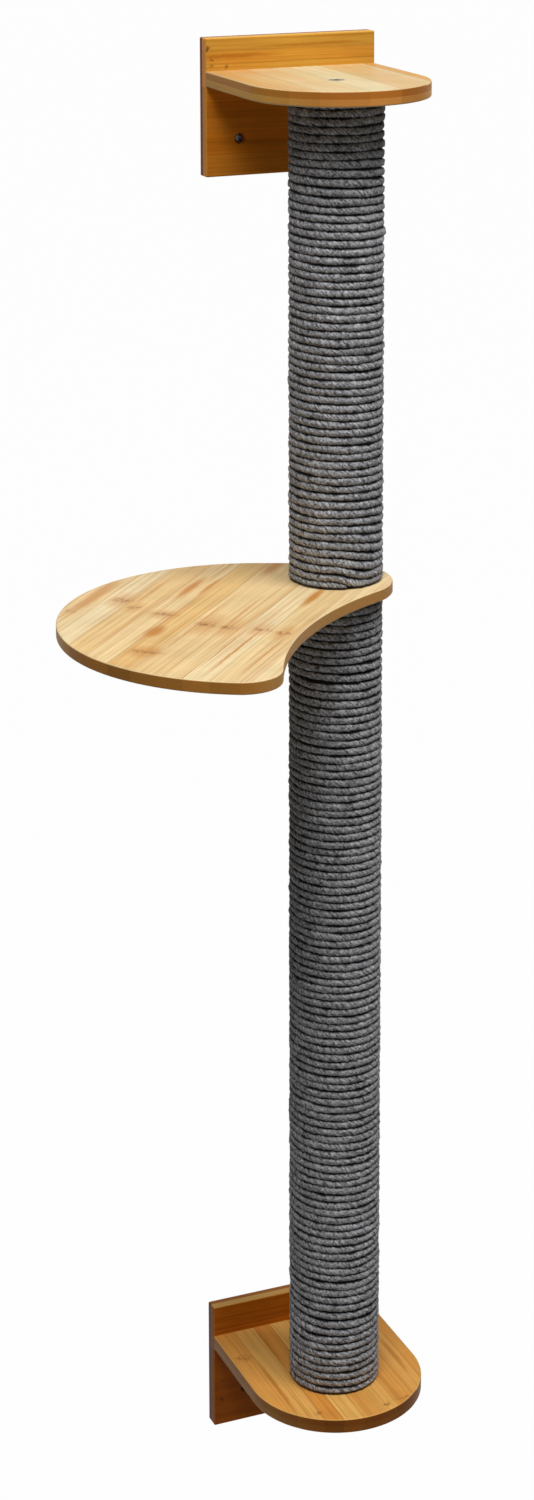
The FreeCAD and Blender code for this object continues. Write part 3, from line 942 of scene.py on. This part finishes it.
# ---------------------------------------------------------------- sub-assemblies
@dataclass
class Bracket:
    """One wall bracket: plate, shelf, shelf screws and dowels keep their solids; the wall screws get a
    rolled thread.
    """

    name: str
    nodes: dict[str, Object]
    plate: Bamboo
    shelf: Bamboo
    screw_spacing: float = 108.0 * MM
    screw_drop: float = 99.5 * MM
    head_height: float = 2.6 * MM

    def build(self, zinc: Material, beech: Material) -> None:
        """Dress the bracket's boards and fasteners.

        Args:
            zinc: the screws' finish.
            beech: the dowels' finish.
        """
        finishes = {
            "_wall_plate": self.plate.material(),
            "_shelf": self.shelf.material(),
            "_shelf_screws": zinc,
            "_shelf_dowels": beech,
        }
        for part, material in finishes.items():
            dress(self.nodes[self.name + part], material)
            LOG.info("dressed %s%s", self.name, part)
        node = self.name + "_wall_screws"
        low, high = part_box(node)
        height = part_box(self.name + "_wall_plate")[1].z - self.screw_drop
        half = self.screw_spacing / 2.0
        screws = WallScrews(node + "_threaded", [Vector((x, 0.0, height)) for x in (-half, half)],
                            head_front=low.y, seat=low.y + self.head_height, tip=high.y).build()
        dress(screws, zinc)
        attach(screws, "wall_frame")
        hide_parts(node)
        LOG.info("modelled %s with %d faces", screws.name, len(screws.data.polygons))


@dataclass
class PostSection:
    """One roped section of the post: tube, caps and inserts inside, and the rope round them."""

    name: str
    nodes: dict[str, Object]
    bottom: float
    top: float
    foot_angle: float
    seed: int
    part_turn: float = 0.0
    lumps: tuple[Spot, ...] = ()
    end_gap: float = 0.2 * MM

    def build(self, finishes: dict[Finish, Material]) -> None:
        """Dress the hidden parts and wind the rope.

        Args:
            finishes: the materials by slot.
        """
        for part, finish in (("_post_tube", Finish.PAPER), ("_tube_bottom_cap", Finish.CAP),
                             ("_tube_top_cap", Finish.CAP), ("_post_inserts", Finish.BRASS)):
            dress(self.nodes[self.name + part], finishes[finish])
        low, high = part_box(self.name + "_post_tube")
        winding = Winding(name=self.name + "_rope_winding", node=self.name + "_rope", axis=(low + high) / 2,
                          tube_radius=(high.x - low.x) / 2, bottom=self.bottom + self.end_gap,
                          top=self.top - self.end_gap, foot_angle=self.foot_angle, seed=self.seed,
                          part_turn=self.part_turn, lumps=self.lumps)
        for rope in winding.build():
            dress(rope, finishes[Finish.ROPE])
            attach(rope, "wall_frame")
            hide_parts(winding.node)
            LOG.info("wound %s with %d faces", rope.name, len(rope.data.polygons))


@dataclass
class Studio:
    """Pale floor, white surroundings, soft overhead lamps and the camera."""

    aim: Vector
    lowest: float
    camera_place: Spot = (-1.13705, -2.68937, 1.72241)
    camera_yaw: float = math.radians(22.5557)
    camera_pitch: float = math.radians(-11.2313)
    camera_roll: float = -0.0026244
    focal_px: float = 2976.868
    frame_height: float = 1500.0
    horizon_row: float = 300.0
    sensor: float = 36.0
    floor_drop: float = 0.35
    floor_size: float = 60.0
    floor_white: float = 0.985
    sky_light: float = 0.045
    # name, degrees to the right of straight in front of the object, and watts
    lamps: tuple[tuple[str, float, float], ...] = (("key_left", -38.0, 180.0), ("key_right", 34.0, 172.0))
    lamp_rise: float = math.radians(62.0)
    lamp_distance: float = 5.5
    lamp_size: float = 2.2

    def build(self) -> None:
        """Set the stage."""
        self.view_settings()
        self.floor()
        self.surroundings()
        for name, azimuth, power in self.lamps:
            self.lamp(name, azimuth, power)
        self.camera()

    @staticmethod
    def view_settings() -> None:
        """Plain colours: no film look."""
        bpy.context.scene.view_settings.view_transform = "Standard"

    def floor(self) -> None:
        """A wide matt floor that the camera sees white, with the object's shadow faintly on it."""
        deselect()
        bpy.ops.mesh.primitive_plane_add(size=self.floor_size,
                                         location=(0.0, 0.0, self.lowest - self.floor_drop))
        floor = bpy.context.object
        floor.name = "studio_floor"
        material, put, shader = new_material("matt_pale_floor")
        set_inputs(shader, Base_Color=srgb("AAA9A7"), Roughness=0.9)
        white = put("Emission", {"Color": srgb("FFFFFF"), "Strength": 1.0})
        mix = put("MixShader", {0: self.seen_white(put, self.floor_white), 1: shader, 2: white})
        output = next(n for n in material.node_tree.nodes if n.type == "OUTPUT_MATERIAL")
        plug(output.inputs["Surface"], mix)
        dress(floor, material)
        floor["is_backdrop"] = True

    @staticmethod
    def seen_white(put: Put, share: float) -> Node:
        """How white a ray finds the background.

        Args:
            put: adds a node to the material or world.
            share: the value for what is seen or mirrored; for light it is 0.

        Returns:
            A node whose output is the value.
        """
        path = put("LightPath").outputs
        seen = path["Is Camera Ray"]
        for kind in ("Is Glossy Ray", "Is Transmission Ray"):
            seen = put("Math", {0: seen, 1: path[kind]}, operation="MAXIMUM")
        return put("Math", {0: seen, 1: share}, operation="MULTIPLY")

    def surroundings(self) -> None:
        """White all round for what is seen, and a dimmer even light on the object."""
        world = bpy.data.worlds.new("studio")
        bpy.context.scene.world = world
        world.use_nodes = True
        world.node_tree.nodes.clear()
        put = partial(add, world.node_tree)
        seen = self.seen_white(put, 1.0)
        strength = put("MapRange", {0: seen, 1: 0.0, 2: 1.0, 3: self.sky_light, 4: 1.0})
        put("OutputWorld", {"Surface": put("Background", {"Color": srgb("FFFFFF"), "Strength": strength})})

    def lamp(self, name: str, azimuth: float, power: float) -> None:
        """Hang a square soft box that faces the object.

        Args:
            name: the lamp's name.
            azimuth: degrees to the right of straight in front of the object.
            power: its power in watts.
        """
        turn, rise = math.radians(azimuth), self.lamp_rise
        away = Vector((math.sin(turn) * math.cos(rise), -math.cos(turn) * math.cos(rise), math.sin(rise)))
        data = bpy.data.lights.new(name, "AREA")
        data.shape = "SQUARE"
        data.size = self.lamp_size
        data.energy = power
        lamp = bpy.data.objects.new(name, data)
        bpy.context.scene.collection.objects.link(lamp)
        lamp.location = self.aim + away * self.lamp_distance
        lamp.rotation_euler = (-away).to_track_quat("-Z", "Y").to_euler()

    def camera(self) -> None:
        """Stand the camera where the photograph was taken from, with the frame shifted down."""
        data = bpy.data.cameras.new("camera")
        data.sensor_fit = "VERTICAL"
        data.sensor_height = self.sensor
        data.sensor_width = self.sensor
        data.lens = self.focal_px / self.frame_height * self.sensor
        data.shift_y = (self.horizon_row - self.frame_height / 2.0) / self.frame_height
        yaw, pitch, roll = self.camera_yaw, self.camera_pitch, self.camera_roll
        right = Vector((math.cos(yaw), -math.sin(yaw), 0.0))
        ahead = Vector((math.sin(yaw) * math.cos(pitch), math.cos(yaw) * math.cos(pitch), math.sin(pitch)))
        up = right.cross(ahead)
        x = right * math.cos(roll) + up * math.sin(roll)
        y = up * math.cos(roll) - right * math.sin(roll)
        camera = bpy.data.objects.new("camera", data)
        bpy.context.scene.collection.objects.link(camera)
        turn = Matrix((x, y, -ahead)).transposed().to_4x4()
        camera.matrix_world = Matrix.Translation(Vector(self.camera_place)) @ turn
        bpy.context.scene.camera = camera


@dataclass
class CatTree:
    """The whole object: two brackets, two post sections, the platform and its hardware."""

    nodes: dict[str, Object]
    post_y: float = -125.0
    grain_turn: float = math.radians(47.0)

    def boards(self) -> dict[str, Bamboo]:
        """The five boards' own grain, tones and marks.

        Returns:
            A finish for each board, by node.
        """
        wide, high, deep = (1.0, 0.0, 0.0), (0.0, 0.0, 1.0), (0.0, 1.0, 0.0)
        turn = self.grain_turn
        return {
            "upper_wall_plate": Bamboo(
                "upper_plate", along=wide, across=high, through=deep, pale="CEA444", tan="DA8020",
                side="D9A048", end="F4A04A", seed=3, ply=-6, far_ply="8A6A60", streak=0.5, contrast=0.8,
                streak_tint="A85E0C", node_tint="5A3412",
                # staves under the shelf are tan and redder: partly the board's tone, partly painted shade
                # under the shelf
                staves=((1274, 0.88), (1296, 1), (1318, 0.94), (1340, 0.98), (1362, 0.3),
                        (1384, 0.46), (1397, 0.28), (1410, 0)),
                nodes=(Mark(-86, 0, 1400, 4, 5, 0.9), Mark(-84, 0, 1389, 5, 5, 0.8),
                       Mark(-68, 0, 1382, 6, 5, 0.9), Mark(-83, 0, 1382, 5, 4, 0.6)),
                streaks=(Mark(-60, 0, 1392, 90, 5, 0.6), Mark(20, 0, 1400, 120, 4, 0.5))),
            "upper_shelf": Bamboo(
                "upper_shelf", along=deep, across=wide, pale="D6CAA0", tan="C69447",
                side="E8AE58", end="CA8840", seed=11, ply=1370.5, far_ply="E6D2B4",
                streak=0.4, contrast=0.8, streak_tint="CF8A40",
                staves=((-90, 0.78), (-72, 0.55), (-50, 0.3), (-28, 0.3), (-6, 0.04), (28, 0.52),
                        (58, 0.42), (76, 0.98), (90, 0)),
                nodes=(Mark(-58, -178, 1378, 5, 6, 0.7),),
                streaks=(Mark(20, -60, 1378, 70, 5, 0.25), Mark(-60, -20, 1378, 90, 40, 0.45))),
            "lower_wall_plate": Bamboo(
                # darker and redder than the upper plate: partly its own tone, partly painted shade on its
                # face
                "lower_plate", along=wide, across=high, through=deep, pale="CC741A", tan="964E0E",
                side="DDAA5E", end="8E5222", seed=5, ply=-6, far_ply="C8A484", streak=0.5, contrast=0.9,
                streak_tint="74380C", node_tint="3E1C06",
                staves=((-68, 0.85), (-46, 0.98), (-24, 0.9), (-2, 1), (20, 0.3), (42, 0.42),
                        (68, 0)), nodes=(Mark(-82, 0, -40, 5, 5, 0.6), Mark(-80, 0, -18, 4, 4, 0.5))),
            "lower_shelf": Bamboo(
                "lower_shelf", along=deep, across=wide, pale="ECBC6A", tan="D28028",
                side="A87840", end="87501C", seed=8, ply=28.5, far_ply="F2E6D4",
                streak=0.4, contrast=0.85, streak_tint="B46A20",
                staves=((-90, 0.6), (-67, 0.3), (-45, 0.7), (-27, 0.16), (-7, 0.52), (13, 0.35),
                        (34, 0.58), (56, 0.42), (76, 0.6), (90, 0)),
                nodes=(Mark(-77, -66, 36, 16, 20, 0.65), Mark(-46, -190, 36, 7, 10, 0.8),
                       Mark(25, -201, 36, 8, 10, 0.9), Mark(44, -197, 36, 5, 24, 0.6),
                       Mark(-56, -152, 36, 3, 4, 0.4)),
                streaks=(Mark(-66, -130, 36, 120, 5, 0.7), Mark(-44, -60, 36, 90, 4, 0.6),
                         Mark(70, -120, 36, 80, 6, 0.6))),
            "platform": Bamboo(
                "platform", along=(math.cos(turn), math.sin(turn), 0),
                across=(-math.sin(turn), math.cos(turn), 0), pale="EDDBB0", tan="DDB674", side="C08C4C",
                end="B27834", seed=2, ply=883, far_ply="FFFFFF", streak=0.38, contrast=0.95,
                streak_tint="BE7E36", node_tint="925C28",
                staves=((-140, 0.35), (-113.5, 0.55), (-87, 0.25), (-61, 0.6), (-35, 0.65), (-9, 0.95),
                        (17.5, 0.55), (44, 0.75), (71, 0.15), (97, 0.45), (123.5, 0.1), (150, 0.35),
                        (176, 0.45), (215, 0)),
                nodes=self.platform_marks(PLATFORM_NODES),
                streaks=self.platform_marks(PLATFORM_STREAKS + tuple(
                    (u, v, 4.0 * length, 1.2 * width, 0.55 * strength)
                    for u, v, length, width, strength in PLATFORM_NODES))),
        }

    def platform_marks(self, places: tuple[tuple[float, ...], ...]) -> tuple[Mark, ...]:
        """Marks on the platform from places along and across its grain.

        Args:
            places: distance along and across the grain from the post's axis, length, width and strength.

        Returns:
            The marks in the frame.
        """
        way = Vector((math.cos(self.grain_turn), math.sin(self.grain_turn), 0.0))
        aside = Vector((-way.y, way.x, 0.0))
        post = Vector((0.0, self.post_y, 0.0))
        spots = [(post + way * place[0] + aside * place[1], place[2:]) for place in places]
        return tuple(Mark(spot.x, spot.y, 0.0, *sizes) for spot, sizes in spots)

    def build(self) -> None:
        """Dress every part and wind the ropes."""
        surfaces = {
            Finish.ROPE: GreyRope(),
            # tube coloured near black: painted shade in the gaps between the rope's turns
            Finish.PAPER: Stock("paper_tube_painted_shade", "35312D", "221F1C", (3.0, 3.0, 1.2), 0.9, 0.1),
            Finish.CAP: Stock("moulded_black_cap", "1C1C1D", "121213", (0.6, 0.6, 0.6), 0.5, 0.04),
            Finish.BRASS: Metal("turned_brass", "C9A35A", 0.32),
            # zinc coloured darker than bright plating: painted shade on the screws and bolts
            Finish.ZINC: Metal("zinc_plate_painted_shade", "7E8185", 0.42),
            Finish.BEECH: Stock("plain_beech", "C79F72", "A97F52", (0.5, 8.0, 0.5), 0.6, 0.05),
        }
        finishes = {finish: surface.material() for finish, surface in surfaces.items()}
        boards = self.boards()
        for name in ("upper", "lower"):
            bracket = Bracket(name, self.nodes, boards[name + "_wall_plate"], boards[name + "_shelf"])
            bracket.build(finishes[Finish.ZINC], finishes[Finish.BEECH])
        dress(self.nodes["platform"], boards["platform"].material())
        for part in ("top_bolt", "bottom_bolt", "platform_stud"):
            dress(self.nodes[part], finishes[Finish.ZINC])
        platform_low, platform_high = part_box("platform")
        upper = PostSection("upper", self.nodes, platform_high.z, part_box("upper_shelf")[0].z,
                            foot_angle=math.radians(-121.0), seed=21, part_turn=0.5, lumps=LOOSE_SPOTS)
        lower = PostSection("lower", self.nodes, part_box("lower_shelf")[1].z, platform_low.z,
                            foot_angle=math.radians(70.0), seed=34)
        for section in (upper, lower):
            section.build(finishes)


def main() -> None:
    """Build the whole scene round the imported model."""
    logging.basicConfig(level=logging.INFO, format="%(name)s: %(message)s")
    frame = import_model()
    cad_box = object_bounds()
    CatTree(frame["nodes"]).build()
    low, high = cad_box
    Studio(aim=(low + high) / 2, lowest=low.z).build()


if __name__ == "__main__":
    main()
